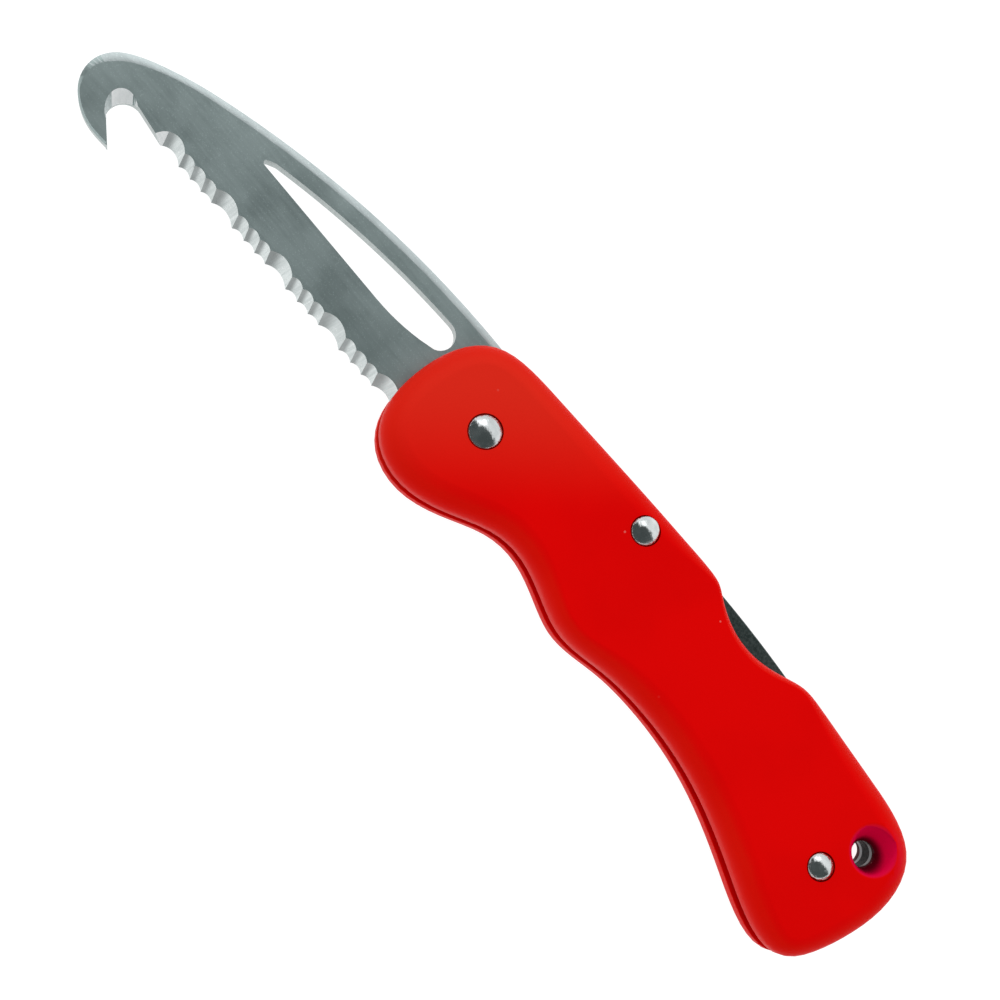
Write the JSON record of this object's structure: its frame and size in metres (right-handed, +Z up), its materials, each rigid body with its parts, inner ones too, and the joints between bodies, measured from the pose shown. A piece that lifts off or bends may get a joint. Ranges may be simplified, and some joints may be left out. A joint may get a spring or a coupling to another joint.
{
  "type": "rigging knife",
  "caption": "Folding lock-back rigging knife with a serrated blade, a line-cutting hook at its tip, a moulded handle and a lanyard hole.",
  "frame": {"origin": "under the middle of the open knife, on the surface that it lies on", "axes": "+X from the blade to the butt of the handle, +Y from the belly to the spine, +Z up through the front scale"},
  "size_m": [0.1898, 0.0334, 0.0161],
  "materials": {
    "handle_red": "satin moulded nylon",
    "blade_steel": "satin, with bright ground scallops",
    "liner_steel": "plain rolled sheet",
    "lock_steel": "dark, ground on its back",
    "spring_steel": "blued spring steel",
    "bush_bronze": "turned",
    "spacer_black": "moulded",
    "rivet_steel": "polished"
  },
  "bodies": {
    "handle": {"scale_front": "handle_red", "scale_back": "handle_red", "liner_front": "liner_steel", "liner_back": "liner_steel", "back_spacer": "spacer_black", "lock_spring": "spring_steel", "pivot_bush": "bush_bronze", "pivot_washer_front": "bush_bronze", "pivot_washer_back": "bush_bronze", "pivot_rivet": "rivet_steel", "pivot_rivet_cap": "rivet_steel", "lock_bush": "bush_bronze", "lock_rivet": "rivet_steel", "lock_rivet_cap": "rivet_steel", "butt_rivet": "rivet_steel", "butt_rivet_cap": "rivet_steel"},
    "blade": {"blade": "blade_steel"},
    "lock_bar": {"lock_bar": "lock_steel"}
  },
  "joints": [
    {"name": "blade_fold", "type": "hinge", "parent": "handle", "child": "blade", "pos_m": [-0.00797, 0.00161, 0.0075], "axis": [0, 0, 1], "range_deg": [0, 174]},
    {"name": "lock_rock", "type": "hinge", "parent": "handle", "child": "lock_bar", "pos_m": [0.02127, 0.01154, 0.0075], "axis": [0, 0, -1], "range_deg": [0, 3.5], "stiffness_Nm_per_rad": 3, "springref_deg": -2.86, "deforming": ["lock_spring"]}
  ]
}
